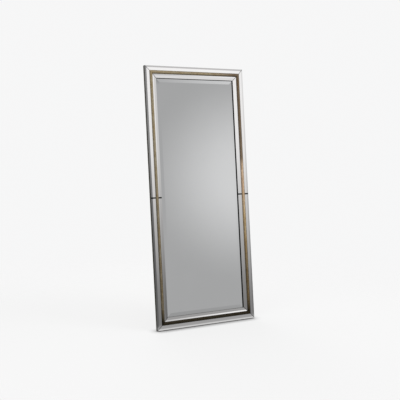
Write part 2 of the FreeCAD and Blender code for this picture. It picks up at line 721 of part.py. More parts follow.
mirror = upright_frame()
origin_shift = leaning(mirror)
os.makedirs("parts", exist_ok=True)
for name, shape in mirror.items():
    shape.exportStep(os.path.join("parts", name + ".step"))
print(len(mirror), "nodes; origin shift", [round(value, 3) for value in origin_shift])
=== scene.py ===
"""Looks of the leaning floor mirror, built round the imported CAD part. Metres, in the part's frame."""

import json
import math
import random

import bmesh
import bpy
from mathutils import Matrix, Vector


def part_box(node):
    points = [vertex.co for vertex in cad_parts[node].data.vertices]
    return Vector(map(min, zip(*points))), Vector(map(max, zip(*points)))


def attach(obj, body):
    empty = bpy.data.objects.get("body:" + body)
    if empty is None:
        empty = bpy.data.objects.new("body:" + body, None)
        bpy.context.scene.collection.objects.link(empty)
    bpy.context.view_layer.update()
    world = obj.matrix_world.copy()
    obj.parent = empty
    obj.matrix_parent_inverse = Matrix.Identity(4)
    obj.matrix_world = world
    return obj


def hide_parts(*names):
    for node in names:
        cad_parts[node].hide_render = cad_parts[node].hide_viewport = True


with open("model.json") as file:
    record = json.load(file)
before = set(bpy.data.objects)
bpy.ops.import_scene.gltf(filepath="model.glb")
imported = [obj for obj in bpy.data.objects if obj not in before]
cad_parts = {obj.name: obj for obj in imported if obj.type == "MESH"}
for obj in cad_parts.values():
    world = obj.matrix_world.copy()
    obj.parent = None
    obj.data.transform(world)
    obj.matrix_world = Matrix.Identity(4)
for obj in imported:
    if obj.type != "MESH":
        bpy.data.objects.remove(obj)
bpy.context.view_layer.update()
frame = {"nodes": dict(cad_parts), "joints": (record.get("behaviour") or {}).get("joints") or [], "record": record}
nodes = frame["nodes"]

MM = 0.001
HEIGHT = 1700.0                   # along the leaning frame, in millimetres
WIDTH = 730.0
LEAN = math.radians(6.0)
LEANED = Matrix.Rotation(-LEAN, 3, "X")
FRAME_FOOT = Vector((0.0, -0.120347, 0.002775))       # bottom back edge of the frame, in the middle
BACKWARD = LEANED @ Vector((0, 1, 0))                 # square to the frame's back
UPWARD = LEANED @ Vector((0, 0, 1))                   # up along the frame
FRONT_FOOT_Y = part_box("outer_strip_bottom")[0].y      # lowest front edge of the frame


def on_frame(x, height, z):
    """A place given in the upright frame's millimetres: across, in front of its back plane, up."""
    return FRAME_FOOT + LEANED @ Vector((x, -height, z)) * MM


# ---------------------------------------------------------------- camera
CAMERA_X = -2.3044
CAMERA_IN_FRONT = 4.1581          # of the frame's lowest front edge
CAMERA_Z = 1.2738
CAMERA_HEADING = math.radians(28.371)      # to the right of straight at the mirror
CAMERA_PITCH = math.radians(5.334)         # downwards
CAMERA_LENS = 66.0
SENSOR_WIDTH = 36.0


def make_camera():
    data = bpy.data.cameras.new("camera")
    data.lens = CAMERA_LENS
    data.sensor_width = SENSOR_WIDTH
    camera = bpy.data.objects.new("camera", data)
    bpy.context.scene.collection.objects.link(camera)
    camera.location = (CAMERA_X, FRONT_FOOT_Y - CAMERA_IN_FRONT, CAMERA_Z)
    camera.rotation_euler = (math.pi / 2 - CAMERA_PITCH, 0, -CAMERA_HEADING)
    bpy.context.scene.camera = camera


# ---------------------------------------------------------------- node helpers
class Tree:
    """Short names for building a node tree."""

    def __init__(self, owner):
        owner.use_nodes = True
        self.tree = owner.node_tree
        self.tree.nodes.clear()

    def add(self, kind, settings=None, **inputs):
        node = self.tree.nodes.new(kind)
        for name, value in (settings or {}).items():
            setattr(node, name, value)
        for name, value in inputs.items():
            self.feed(node.inputs[name.replace("_", " ")], value)
        return node

    def feed(self, socket, value):
        if isinstance(value, bpy.types.NodeSocket):
            self.tree.links.new(value, socket)
        else:
            socket.default_value = value

    def math(self, operation, a, b=0.0, c=0.0):
        node = self.tree.nodes.new("ShaderNodeMath")
        node.operation = operation
        for socket, value in zip(node.inputs, (a, b, c)):
            self.feed(socket, value)
        return node.outputs[0]

    def dot(self, a, b):
        node = self.add("ShaderNodeVectorMath", {"operation": "DOT_PRODUCT"})
        self.feed(node.inputs[0], a)
        self.feed(node.inputs[1], b)
        return node.outputs["Value"]

    def ramp(self, factor, stops, smooth=False):
        node = self.tree.nodes.new("ShaderNodeValToRGB")
        node.color_ramp.interpolation = "EASE" if smooth else "LINEAR"
        elements = node.color_ramp.elements
        while len(elements) < len(stops):
            elements.new(0.5)
        for element, (place, colour) in zip(elements, stops):
            element.position = place
            element.color = grey(colour) if isinstance(colour, float) else (*colour, 1.0)
        self.feed(node.inputs[0], factor)
        return node.outputs[0]

    def between(self, value, low, high):
        """The value on a scale that is 0 at low and 1 at high."""
        return self.math("DIVIDE", self.math("SUBTRACT", value, low), high - low)

    def scale_ramp(self, value, low, high, stops, smooth=False):
        """Ramp whose stops are given on the value's own scale."""
        places = [((place - low) / (high - low), colour) for place, colour in stops]
        return self.ramp(self.between(value, low, high), places, smooth)

    def mix(self, factor, a, b, blend="MIX"):
        node = self.tree.nodes.new("ShaderNodeMix")
        node.data_type = "RGBA"
        node.blend_type = blend
        self.feed(node.inputs[0], factor)
        self.feed(node.inputs[6], a)
        self.feed(node.inputs[7], b)
        return node.outputs[2]

    def mix_shader(self, factor, a, b):
        node = self.add("ShaderNodeMixShader", Fac=factor)
        self.feed(node.inputs[1], a)
        self.feed(node.inputs[2], b)
        return node.outputs[0]

    def noise(self, where, scale, detail=2.0, roughness=0.5, distortion=0.0):
        node = self.add("ShaderNodeTexNoise", Vector=where, Scale=scale, Detail=detail,
                        Roughness=roughness, Distortion=distortion)
        return node.outputs["Fac"]

    def squeezed(self, where, scale):
        """The place, stretched by a factor along each axis."""
        node = self.add("ShaderNodeMapping", Vector=where, Scale=scale)
        return node.outputs["Vector"]

    def bump(self, height, strength, distance, normal=None):
        node = self.add("ShaderNodeBump", Height=height, Strength=strength, Distance=distance)
        if normal is not None:
            self.feed(node.inputs["Normal"], normal)
        return node.outputs["Normal"]


def grey(value):
    return (value, value, value, 1.0)


def reflected(path):
    """The two outputs of a Light Path node that are 1 for rays that left metal or glass."""
    return path.outputs["Is Glossy Ray"], path.outputs["Is Transmission Ray"]


# ---------------------------------------------------------------- studio
BACKGROUND = (0.926, 0.926, 0.928, 1.0)
SKY_LIGHT = 0.80                  # what the world gives matt surfaces

# What mirrors see of the studio: brightness by direction, in degrees. Azimuth is 0 straight in front of
# the mirror and grows towards its right-hand side, and elevation is 0 at the horizon.
OVERHEAD = [(31, 0.92), (35, 0.54), (50, 0.50), (62, 0.90), (90, 1.30)]
BY_ELEVATION = [(-30, 0.20), (-3.3, 0.19), (-0.7, 0.24), (4.8, 0.52), (9.9, 0.82), (14.6, 0.88),
                (24, 0.94)] + OVERHEAD
BY_AZIMUTH = [(-180, 0.75), (-120, 0.75), (-70, 0.55), (-40, 0.58), (-13, 0.58), (-4.5, 0.29), (2, 0.29),
              (5.5, 1.0), (44, 1.0), (46, 0.73), (52, 0.74), (57, 0.85), (90, 0.92), (180, 0.75)]
LOW_LIGHT = [(-4.0, 0.68), (-1.5, 0.48), (2.5, 0.29)]    # by elevation: the least for BY_AZIMUTH
RIGHT_SIDE = [(38, 0.0), (41, 1.0)]                      # by azimuth
RIGHT_LIFT = 2.2                                         # the right side looks as if this much higher

# A pale card stands where the plate looks, with a soft lamp spot on it.
CARD_AZIMUTH = 28.4
CARD_EDGE = [(7.2, 1.0), (8.1, 0.0)]                     # by distance from its middle
CARD_TONES = [(-6.2, 0.45), (-5.7, 0.74), (-4.4, 0.74), (-3.8, 0.546), (14.7, 0.546), (15.1, 0.34),
              (16.6, 0.34), (16.9, 0.73), (20, 0.73), (22.5, 0.94)] + OVERHEAD
CARD_TOP_BAND = [(16.6, 0.0), (16.9, 1.0), (20, 1.0), (22.5, 0.0)]
CARD_TOP_SLANT = 0.05                                    # gain for each degree to the right
CARD_TOP_MIDDLE = 29.0
SPOT_AZIMUTH, SPOT_WIDTH = 32.6, 9.2
SPOT_ELEVATION, SPOT_HEIGHT = 6.7, 8.6
SPOT_EDGE = [(0.15, 1.0), (1.0, 0.0)]
SPOT_TONE = 0.918


def make_world():
    """Pale all round for the camera. Mirrors see a studio that is brighter above than below."""
    world = bpy.data.worlds.new("studio")
    bpy.context.scene.world = world
    tree = Tree(world)
    way = tree.add("ShaderNodeTexCoord").outputs["Generated"]
    x, y, z = tree.add("ShaderNodeSeparateXYZ", Vector=way).outputs
    degrees = math.degrees(1)
    elevation = tree.math("MULTIPLY", tree.math("ARCSINE", z), degrees)
    azimuth = tree.math("MULTIPLY", tree.math("ARCTAN2", x, tree.math("MULTIPLY", y, -1.0)), degrees)

    lift = tree.scale_ramp(azimuth, -180, 180, RIGHT_SIDE)
    lifted = tree.math("MULTIPLY_ADD", lift, RIGHT_LIFT, elevation)
    upward = tree.scale_ramp(lifted, -30, 90, BY_ELEVATION)
    around = tree.scale_ramp(azimuth, -180, 180, BY_AZIMUTH)
    around = tree.math("MAXIMUM", around, tree.scale_ramp(elevation, -30, 90, LOW_LIGHT))
    room = tree.mix(1.0, upward, around, "MULTIPLY")

    off_middle = tree.math("ABSOLUTE", tree.math("SUBTRACT", azimuth, CARD_AZIMUTH))
    card = tree.scale_ramp(off_middle, 0, 10, CARD_EDGE)
    tone = tree.scale_ramp(elevation, -10, 90, CARD_TONES)
    slant = tree.math("MULTIPLY", tree.math("SUBTRACT", azimuth, CARD_TOP_MIDDLE), CARD_TOP_SLANT)
    tone = tree.math("MULTIPLY_ADD", slant, tree.scale_ramp(elevation, 0, 30, CARD_TOP_BAND), tone)
    tone = tree.mix(spot_mask(tree, azimuth, elevation), tone, grey(SPOT_TONE))
    studio = tree.mix(card, room, tone)

    path = tree.add("ShaderNodeLightPath")
    seen = tree.mix(tree.math("MAXIMUM", *reflected(path)), grey(SKY_LIGHT), studio)
    seen = tree.mix(path.outputs["Is Camera Ray"], seen, BACKGROUND)
    shader = tree.add("ShaderNodeBackground", Color=seen, Strength=1.0)
    out = tree.add("ShaderNodeOutputWorld")
    tree.feed(out.inputs["Surface"], shader.outputs[0])


def spot_mask(tree, azimuth, elevation):
    """1 in the middle of the lamp spot and 0 at the edge of its ellipse."""
    across = tree.math("DIVIDE", tree.math("SUBTRACT", azimuth, SPOT_AZIMUTH), SPOT_WIDTH)
    up = tree.math("DIVIDE", tree.math("SUBTRACT", elevation, SPOT_ELEVATION), SPOT_HEIGHT)
    far = tree.math("ADD", tree.math("MULTIPLY", across, across), tree.math("MULTIPLY", up, up))
    return tree.ramp(tree.math("POWER", far, 0.5), SPOT_EDGE, smooth=True)


FLOOR_SIZE = 4.0
FLOOR_FADE = [(1.0, 0.0), (2.6, 1.0)]         # by distance from the middle, into the background
FLOOR_LIT = 0.86
FLOOR_PLAIN = 0.910
FLOOR_PLAIN_SHARE = 0.82                      # of plain colour in the floor that the camera sees
SHADOW_REACH = 0.060
CONTACT_SHADOW = [(0.0, 0.02), (0.45, 0.24), (0.8, 0.72), (1.0, 1.0)]         # by share of open sky
MIRRORED_FLOOR = [(-0.005, 0.36), (0.0, 0.62), (0.022, 0.62), (0.032, 0.36)]  # by distance in front
MIRRORED_FLOOR_FADE = [(0.50, 0.0), (0.80, 1.0)]


def make_floor():
    mesh = bpy.data.meshes.new("floor")
    corners = [(-FLOOR_SIZE, -FLOOR_SIZE, 0), (FLOOR_SIZE, -FLOOR_SIZE, 0), (FLOOR_SIZE, FLOOR_SIZE, 0),
               (-FLOOR_SIZE, FLOOR_SIZE, 0)]
    mesh.from_pydata(corners, [], [(0, 1, 2, 3)])
    floor = bpy.data.objects.new("floor", mesh)
    bpy.context.scene.collection.objects.link(floor)
    material = bpy.data.materials.new("floor")
    mesh.materials.append(material)
    tree = Tree(material)
    place = tree.add("ShaderNodeNewGeometry").outputs["Position"]
    length = tree.add("ShaderNodeVectorMath", {"operation": "LENGTH"})
    tree.feed(length.inputs[0], place)
    far = length.outputs["Value"]
    lit = tree.add("ShaderNodeBsdfDiffuse", Color=grey(FLOOR_LIT)).outputs[0]
    clear = tree.add("ShaderNodeBsdfTransparent").outputs[0]

    # the camera sees the background's colour, darkened where the frame stands close over it
    open_sky = tree.add("ShaderNodeAmbientOcclusion", {"samples": 16}, Distance=SHADOW_REACH)
    contact = tree.ramp(open_sky.outputs["AO"], CONTACT_SHADOW)
    plain = tree.mix(1.0, grey(FLOOR_PLAIN), contact, "MULTIPLY")
    glow = tree.add("ShaderNodeEmission", Color=plain, Strength=1.0).outputs[0]
    shown = tree.mix_shader(FLOOR_PLAIN_SHARE, lit, glow)
    for_camera = tree.mix_shader(tree.scale_ramp(far, 0, FLOOR_SIZE, FLOOR_FADE, True), shown, clear)

    # painted light: mirrors see the floor as a glow, bright in a band at the frame's front edge and grey further
    # off
    y = tree.add("ShaderNodeSeparateXYZ", Vector=place).outputs["Y"]
    in_front = tree.math("SUBTRACT", FRONT_FOOT_Y, y)
    tone = tree.scale_ramp(in_front, -0.05, 0.05, MIRRORED_FLOOR)
    painted_floor_glow = tree.add("ShaderNodeEmission", Color=tone, Strength=1.0).outputs[0]
    for_mirrors = tree.mix_shader(tree.scale_ramp(far, 0, 1, MIRRORED_FLOOR_FADE), painted_floor_glow, clear)

    path = tree.add("ShaderNodeLightPath")
    seen = tree.mix_shader(tree.math("MAXIMUM", *reflected(path)), lit, for_mirrors)
    seen = tree.mix_shader(path.outputs["Is Camera Ray"], seen, for_camera)
    out = tree.add("ShaderNodeOutputMaterial")
    tree.feed(out.inputs["Surface"], seen)


LAMP_SIZE = 2.0
LAMP_AIM = Vector((0, 0, 0.8))


def area_lamp(name, place, watts):
    data = bpy.data.lights.new(name, "AREA")
    data.shape = "DISK"
    data.size = LAMP_SIZE
    data.energy = watts
    lamp = bpy.data.objects.new(name, data)
    bpy.context.scene.collection.objects.link(lamp)
    lamp.location = place
    lamp.rotation_euler = (LAMP_AIM - Vector(place)).to_track_quat("-Z", "Y").to_euler()
    lamp.visible_glossy = False


def make_lamps():
    area_lamp("key", (2.2, -2.6, 3.2), 60.0)
    area_lamp("fill", (-2.8, -1.6, 2.2), 25.0)
    area_lamp("back", (0.6, 2.8, 2.8), 40.0)


# ---------------------------------------------------------------- materials
def new_material(name):
    """A principled material: itself, its tree, its shader, and the place on the part as it stands."""
    material = bpy.data.materials.new(name)
    tree = Tree(material)
    shader = tree.add("ShaderNodeBsdfPrincipled")
    out = tree.add("ShaderNodeOutputMaterial")
    tree.feed(out.inputs["Surface"], shader.outputs[0])
    place = tree.add("ShaderNodeTexCoord").outputs["Object"]
    return material, tree, shader, place


def facing_front(tree):
    """1 where the surface is square to the frame's front, 0 on its sides and -1 on its back."""
    return tree.dot(tree.add("ShaderNodeTexCoord").outputs["Normal"], -BACKWARD)


SIGHT_EDGE = 77.6 * MM            # the lip beside the plate, in from the frame's outer edge
MITRE_LINE = 1.6 * MM             # half the dark line at a mitre, measured along the strip
SEAM_LINE = 4.2 * MM              # half the dark line at a seam halfway up a stile
LIP_SHADE_WIDTH = 4.0 * MM              # painted shade and reflection of the lip: width of the dark band on the plate beside it
LIP_SHADE_SHIFT = 3.0 * MM              # the painted dark band sits this far to the left, so it is wider on the right
# dark of the ground glass ends, and of the painted lip shade on the plate
GROUND_GLASS_AND_LIP_SHADE = (0.020, 0.024, 0.022, 1.0)
DARK_CLAY = (0.10, 0.07, 0.045, 1.0)
BARE_WOOD = (0.17, 0.125, 0.080, 1.0)


def up_frame(tree, place):
    """Height up the leaning frame, in metres."""
    return tree.math("SUBTRACT", tree.dot(place, UPWARD), FRAME_FOOT.dot(UPWARD))


def off_middle(tree, place, shift):
    """Distance from the frame's upright middle line, in metres, with the place first moved by a shift."""
    x = tree.add("ShaderNodeSeparateXYZ", Vector=place).outputs["X"]
    return tree.math("ABSOLUTE", tree.math("ADD", x, shift))


def joint_lines(tree, place):
    """1 on the ground ends of the strips: beside the mitres, and beside the seams halfway up."""
    half_height = HEIGHT * MM / 2
    from_side = tree.math("SUBTRACT", WIDTH * MM / 2, off_middle(tree, place, 0.0))
    off_seam = tree.math("ABSOLUTE", tree.math("SUBTRACT", up_frame(tree, place), half_height))
    from_end = tree.math("SUBTRACT", half_height, off_seam)
    off_mitre = tree.math("ABSOLUTE", tree.math("SUBTRACT", from_end, from_side))
    mitre = tree.scale_ramp(off_mitre, 0, 0.01, [(MITRE_LINE, 1.0), (MITRE_LINE * 1.3, 0.0)])
    seam = tree.scale_ramp(off_seam, 0, 0.01, [(SEAM_LINE, 1.0), (SEAM_LINE * 1.2, 0.0)])
    return tree.math("MAXIMUM", mitre, seam)


def painted_lip_shade(tree, place):
    """1 on a painted dark band on the plate beside the lip, the lip's shade and reflection: widest on the right,
    and none at the bottom.
    """
    inset = SIGHT_EDGE + LIP_SHADE_WIDTH
    beside = tree.math("SUBTRACT", off_middle(tree, place, LIP_SHADE_SHIFT), WIDTH * MM / 2 - inset)
    above = tree.math("SUBTRACT", up_frame(tree, place), HEIGHT * MM - inset)
    out = tree.math("MAXIMUM", beside, above)
    return tree.scale_ramp(out, -0.01, 0.01, [(-0.0004, 0.0), (0.0004, 1.0)])


def mirror_glass(name, tint, darkest, dark_lines):
    """Silvered glass: faint clouding, specks and a slow waviness. Its ends, its ground arrises and what
    dark_lines gives are dark."""
    material, tree, shader, place = new_material(name)
    cloud = tree.noise(place, 6.0, 4.0, 0.6)
    speck = tree.noise(place, 900.0, 1.0)
    tone = tree.ramp(cloud, [(0.3, tuple(c * darkest for c in tint)), (0.7, tint)])
    dust = tree.ramp(speck, [(0.74, 1.0), (0.80, 0.93)])
    tone = tree.mix(1.0, tone, dust, "MULTIPLY")
    ground = tree.ramp(facing_front(tree), [(0.80, 1.0), (0.93, 0.0)])
    # on the plate, dark_lines gives the painted shade and reflection of the lip
    ground = tree.math("MAXIMUM", ground, dark_lines(tree, place))
    tree.feed(shader.inputs["Base Color"], tree.mix(ground, tone, GROUND_GLASS_AND_LIP_SHADE))
    shader.inputs["Metallic"].default_value = 1.0
    haze = tree.noise(place, 14.0, 3.0)
    polish = tree.math("MULTIPLY_ADD", haze, 0.03, 0.012)
    tree.feed(shader.inputs["Roughness"], tree.math("MULTIPLY_ADD", ground, 0.3, polish))
    wave = tree.noise(place, 5.0, 1.0)
    tree.feed(shader.inputs["Normal"], tree.bump(wave, 0.04, 0.002))
    return material


def champagne_leaf():
    """Burnished metal leaf over a dark clay ground, with painted reflection: khaki on the left, browner and uneven
    on the right with a painted highlight partway up, darker where it turns away from the front beside the strips,
    and nearly black along the bottom rail as painted shade."""
    material, tree, shader, place = new_material("champagne_leaf")
    mottle = tree.noise(place, 40.0, 5.0, 0.55, 0.4)
    patch = tree.noise(place, 9.0, 3.0, 0.5)
    leaf = tree.ramp(mottle, [(0.32, (0.40, 0.318, 0.200)), (0.52, (0.47, 0.385, 0.255)),
                              (0.72, (0.53, 0.450, 0.320))])
    warm = tree.ramp(patch, [(0.35, (0.96, 0.88, 0.76)), (0.65, (1.0, 1.0, 1.0))])
    leaf = tree.mix(1.0, leaf, warm, "MULTIPLY")
    worn = tree.ramp(tree.noise(place, 150.0, 5.0, 0.7), [(0.72, 0.0), (0.80, 0.8)])
    leaf = tree.mix(worn, leaf, DARK_CLAY)

    # painted reflection: the left keeps a khaki cast; on the right it is browner, with a pinkish painted highlight
    # partway up and painted shade below and above it; 0.5 leaves a tone as it is
    split = tree.add("ShaderNodeSeparateXYZ", Vector=place).outputs
    height = split["Z"]
    right = tree.scale_ramp(split["X"], -0.4, 0.4, [(0.10, 0.0), (0.31, 1.0)])
    painted_reflection_hue = tree.scale_ramp(height, 0, 1.8, [(0.70, (1.0, 0.93, 0.80)), (0.90, (1.0, 0.90, 0.98)),
                                             (1.15, (1.0, 0.93, 0.98))])
    side_reflection_tint = tree.mix(right, (0.93, 0.97, 1.0, 1.0), painted_reflection_hue)
    leaf = tree.mix(1.0, leaf, side_reflection_tint, "MULTIPLY")
    highlight_height = tree.math("MULTIPLY_ADD", patch, 0.2, tree.math("SUBTRACT", height, 0.1))
    shade = tree.scale_ramp(highlight_height, 0, 1.8, [(0.30, 0.42), (0.62, 0.80), (0.78, 0.95), (1.02, 0.95),
                                            (1.13, 0.36), (1.25, 0.25), (1.70, 0.24)], True)
    shade = tree.mix(right, grey(0.5), shade)
    leaf = tree.mix(1.0, leaf, grey(2.0), "MULTIPLY")

    # painted shade: the leaf turns nearly black along the bottom rail, darker towards the floor
    painted_floor_shade = tree.scale_ramp(height, 0, 0.5, [(0.058, 0.10), (0.16, 1.0)])
    shade = tree.mix(1.0, shade, painted_floor_shade, "MULTIPLY")
    # darker where the surface turns away from the front, beside the strips
    flank_darkening = tree.ramp(facing_front(tree), [(0.20, 0.45), (0.62, 1.0)])
    shade = tree.mix(1.0, shade, flank_darkening, "MULTIPLY")
    tree.feed(shader.inputs["Base Color"], tree.mix(1.0, leaf, shade, "MULTIPLY"))
    shader.inputs["Metallic"].default_value = 0.9
    rub = tree.noise(place, 120.0, 4.0, 0.6)
    tree.feed(shader.inputs["Roughness"], tree.math("MULTIPLY_ADD", rub, 0.14, 0.09))
    fine = tree.noise(place, 420.0, 4.0, 0.6)
    slow = tree.bump(mottle, 0.06, 0.0005)
    tree.feed(shader.inputs["Normal"], tree.bump(fine, 0.04, 0.0002, slow))
    return material


def painted_wood(name, stretch):
    """Satin bronze-black paint over wood: faint grain and clouding, and rubbed arrises."""
    material, tree, shader, place = new_material(name)
    grain = tree.noise(tree.squeezed(place, stretch), 4.0, 5.0, 0.6, 0.6)
    cloud = tree.noise(place, 9.0, 3.0)
    paint = tree.ramp(grain, [(0.30, (0.032, 0.031, 0.021)), (0.55, (0.047, 0.046, 0.031)),
                              (0.75, (0.064, 0.062, 0.044))])
    shade = tree.ramp(cloud, [(0.3, 0.86), (0.7, 1.0)])
    paint = tree.mix(1.0, paint, shade, "MULTIPLY")
    edge = tree.add("ShaderNodeBevel", {"samples": 4}, Radius=0.0012).outputs["Normal"]
    turn = tree.dot(edge, tree.add("ShaderNodeNewGeometry").outputs["Normal"])
    rubbed = tree.math("MULTIPLY", tree.ramp(turn, [(0.93, 1.0), (0.995, 0.0)]),
                       tree.ramp(tree.noise(place, 60.0, 4.0, 0.7), [(0.42, 0.0), (0.60, 0.8)]))
    tree.feed(shader.inputs["Base Color"], tree.mix(rubbed, paint, BARE_WOOD))
    shader.inputs["Specular IOR Level"].default_value = 0.3
    tree.feed(shader.inputs["Roughness"], tree.math("MULTIPLY_ADD", grain, 0.18, 0.36))
    tree.feed(shader.inputs["Normal"], tree.bump(grain, 0.18, 0.0004))
    return material


def hardboard():
    """Brown pressed board: fine fibres under slow clouding."""
    material, tree, shader, place = new_material("hardboard")
    fibre = tree.noise(place, 260.0, 6.0, 0.7, 1.2)
    cloud = tree.noise(place, 7.0, 4.0)
    board = tree.ramp(fibre, [(0.30, (0.135, 0.078, 0.040)), (0.52, (0.225, 0.138, 0.074)),
                              (0.72, (0.300, 0.196, 0.112))])
    shade = tree.ramp(cloud, [(0.3, 0.84), (0.7, 1.05)])
    tree.feed(shader.inputs["Base Color"], tree.mix(1.0, board, shade, "MULTIPLY"))
    tree.feed(shader.inputs["Roughness"], tree.math("MULTIPLY_ADD", fibre, 0.2, 0.5))
    tree.feed(shader.inputs["Normal"], tree.bump(fibre, 0.25, 0.0003))
    return material


def beech():
    """Pale wood with short darker flecks."""
    material, tree, shader, place = new_material("beech")
    fleck = tree.noise(tree.squeezed(place, (40.0, 40.0, 6.0)), 12.0, 4.0)
    wood = tree.ramp(fleck, [(0.3, (0.42, 0.27, 0.15)), (0.7, (0.60, 0.43, 0.27))])
    tree.feed(shader.inputs["Base Color"], wood)
    tree.feed(shader.inputs["Roughness"], tree.math("MULTIPLY_ADD", fleck, 0.1, 0.5))
    return material


def zinc_steel():
    """Zinc plate: clouds from grey to slightly yellow, and fine drawing lines."""
    material, tree, shader, place = new_material("zinc_steel")
    cloud = tree.noise(place, 70.0, 4.0, 0.6)
    lines = tree.noise(tree.squeezed(place, (1500.0, 1500.0, 120.0)), 1.0, 3.0)
    tone = tree.ramp(cloud, [(0.30, (0.46, 0.46, 0.44)), (0.55, (0.60, 0.60, 0.585)),
                             (0.75, (0.66, 0.655, 0.60))])
    tree.feed(shader.inputs["Base Color"], tone)
    shader.inputs["Metallic"].default_value = 1.0
    tree.feed(shader.inputs["Roughness"], tree.math("MULTIPLY_ADD", lines, 0.22, 0.22))
    tree.feed(shader.inputs["Normal"], tree.bump(lines, 0.12, 0.0002))
    return material


def black_rubber():
    """Matt black rubber with a fine grain and a dusty bloom."""
    material, tree, shader, place = new_material("black_rubber")
    grain = tree.noise(place, 1400.0, 3.0)
    bloom = tree.noise(place, 60.0, 3.0)
    tone = tree.ramp(bloom, [(0.3, (0.018, 0.018, 0.019)), (0.7, (0.040, 0.040, 0.041))])
    tree.feed(shader.inputs["Base Color"], tone)
    tree.feed(shader.inputs["Roughness"], tree.math("MULTIPLY_ADD", grain, 0.15, 0.62))
    tree.feed(shader.inputs["Normal"], tree.bump(grain, 0.2, 0.0002))
    return material


ACROSS_GRAIN = (4.0, 90.0, 90.0)          # grain along X
UPRIGHT_GRAIN = (90.0, 90.0, 4.0)         # grain along Z


def make_finishes():
    return {
        # the strips' slight warm tint is a painted reflection of the bead
        "mirror_strips": mirror_glass("mirror_strips", (0.96, 0.948, 0.945), 0.97, joint_lines),
        # the plate is the same silvered glass as the strips; its darker tint is painted shade
        "mirror_plate": mirror_glass("mirror_plate", (0.68, 0.685, 0.69), 0.985, painted_lip_shade),
        "champagne_leaf": champagne_leaf(),
        "painted_stile": painted_wood("painted_stile", UPRIGHT_GRAIN),
        "painted_rail": painted_wood("painted_rail", ACROSS_GRAIN),
        "hardboard": hardboard(),
        "beech": beech(),
        "zinc_steel": zinc_steel(),
        "black_rubber": black_rubber(),
    }


def finish_of(name, slot):
    """The finish of a CAD node. Mirror glass and paint come in two kinds, the rest go by slot."""
    if slot == "mirror_glass":
        return "mirror_plate" if name == "mirror_plate" else "mirror_strips"
    if slot == "painted_wood":
        return "painted_rail" if "rail" in name or "batten" in name else "painted_stile"
    return slot


def dress_nodes(finishes):
    slots = {row["node"]: row["material_slot"] for row in frame["record"]["subparts"]}
    for name, piece in nodes.items():
        piece.data.materials.clear()
        piece.data.materials.append(finishes[finish_of(name, slots[name])])


# ---------------------------------------------------------------- mesh helpers
class Shell:
    """Points and faces of a piece, gathered ring by ring."""

    def __init__(self):
        self.points = []
        self.faces = []

    def ring(self, points):
        start = len(self.points)
        self.points += [tuple(point) for point in points]
        return list(range(start, len(self.points)))

    def join(self, low, high):
        for number in range(len(low)):
            self.faces.append((low[number - 1], low[number], high[number], high[number - 1]))

    def loft(self, rings, closed=False):
        made = [self.ring(points) for points in rings]
        for low, high in zip(made, made[1:]):
            self.join(low, high)
        if closed:
            self.join(made[-1], made[0])
        else:
            self.faces += [tuple(made[0]), tuple(reversed(made[-1]))]

    def turned(self, origin, axis, profile, segments=32):
        """Lathed solid: the profile is (distance along the axis, radius) in millimetres."""
        axis = Vector(axis).normalized()
        across = axis.orthogonal().normalized()
        other = axis.cross(across)
        rings = []
        for along, radius in profile:
            middle = Vector(origin) + axis * along * MM
            turns = [2 * math.pi * number / segments for number in range(segments)]
            rings.append([middle + (across * math.cos(turn) + other * math.sin(turn)) * radius * MM
                          for turn in turns])
        self.loft(rings)

    def add_copy(self, mesh, matrix):
        start = len(self.points)
        self.points += [tuple(matrix @ vertex.co) for vertex in mesh.vertices]
        self.faces += [tuple(start + index for index in polygon.vertices) for polygon in mesh.polygons]

    def mesh(self, name, sharp_deg=32.0):
        mesh = bpy.data.meshes.new(name)
        mesh.from_pydata(self.points, [], self.faces)
        work = bmesh.new()
        work.from_mesh(mesh)
        bmesh.ops.recalc_face_normals(work, faces=work.faces)
        work.to_mesh(mesh)
        work.free()
        mesh.shade_smooth()
        mesh.set_sharp_from_angle(angle=math.radians(sharp_deg))
        return mesh


def add_piece(name, shell, finish, body, replaced):
    mesh = shell.mesh(name)
    mesh.materials.append(finish)
    piece = bpy.data.objects.new(name, mesh)
    bpy.context.scene.collection.objects.link(piece)
    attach(piece, body)
    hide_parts(*replaced)


def solids_of(node):
    """The points of each separate solid of a CAD node, in a fixed order."""
    work = bmesh.new()
    work.from_mesh(nodes[node].data)
    bmesh.ops.remove_doubles(work, verts=work.verts, dist=1e-6)
    work.verts.ensure_lookup_table()
    seen = set()
    groups = []
    for first in work.verts:
        if first.index in seen:
            continue
        seen.add(first.index)
        stack = [first]
        group = []
        while stack:
            vertex = stack.pop()
            group.append(vertex.co.copy())
            for edge in vertex.link_edges:
                other = edge.other_vert(vertex)
                if other.index not in seen:
                    seen.add(other.index)
                    stack.append(other)
        groups.append(group)
    work.free()
    return groups


def span(points, way):
    """How far the points reach along a direction: lowest and highest."""
    values = [point.dot(way) for point in points]
    return min(values), max(values)


def axis_place(points, out):
    """Place on the axis of a round solid square to the frame's back, at its distance out."""
    x = sum(span(points, Vector((1, 0, 0)))) / 2
    up = sum(span(points, UPWARD)) / 2
    return Vector((x, 0, 0)) + UPWARD * up + BACKWARD * out


# ---------------------------------------------------------------- bead
BEAD_U = (30.3, 52.3)             # its two sides, in from the frame's outer edge
BEAD_FLOOR = 17.0
BEAD_SPRING = 24.5
BEAD_CROWN = 31.5
BEAD_STEPS = 28


def bead_profile():
    """(u, height) round the bead's section."""
    half = (BEAD_U[1] - BEAD_U[0]) / 2
    rise = BEAD_CROWN - BEAD_SPRING
    radius = (half * half + rise * rise) / (2 * rise)
    middle = (BEAD_U[0] + BEAD_U[1]) / 2
    reach = math.asin(half / radius)
    profile = [(BEAD_U[0], BEAD_FLOOR)]
    for number in range(BEAD_STEPS + 1):
        angle = -reach + 2 * reach * number / BEAD_STEPS
        height = BEAD_CROWN - radius + radius * math.cos(angle)
        profile.append((middle + radius * math.sin(angle), height))
    profile.append((BEAD_U[1], BEAD_FLOOR))
    return profile


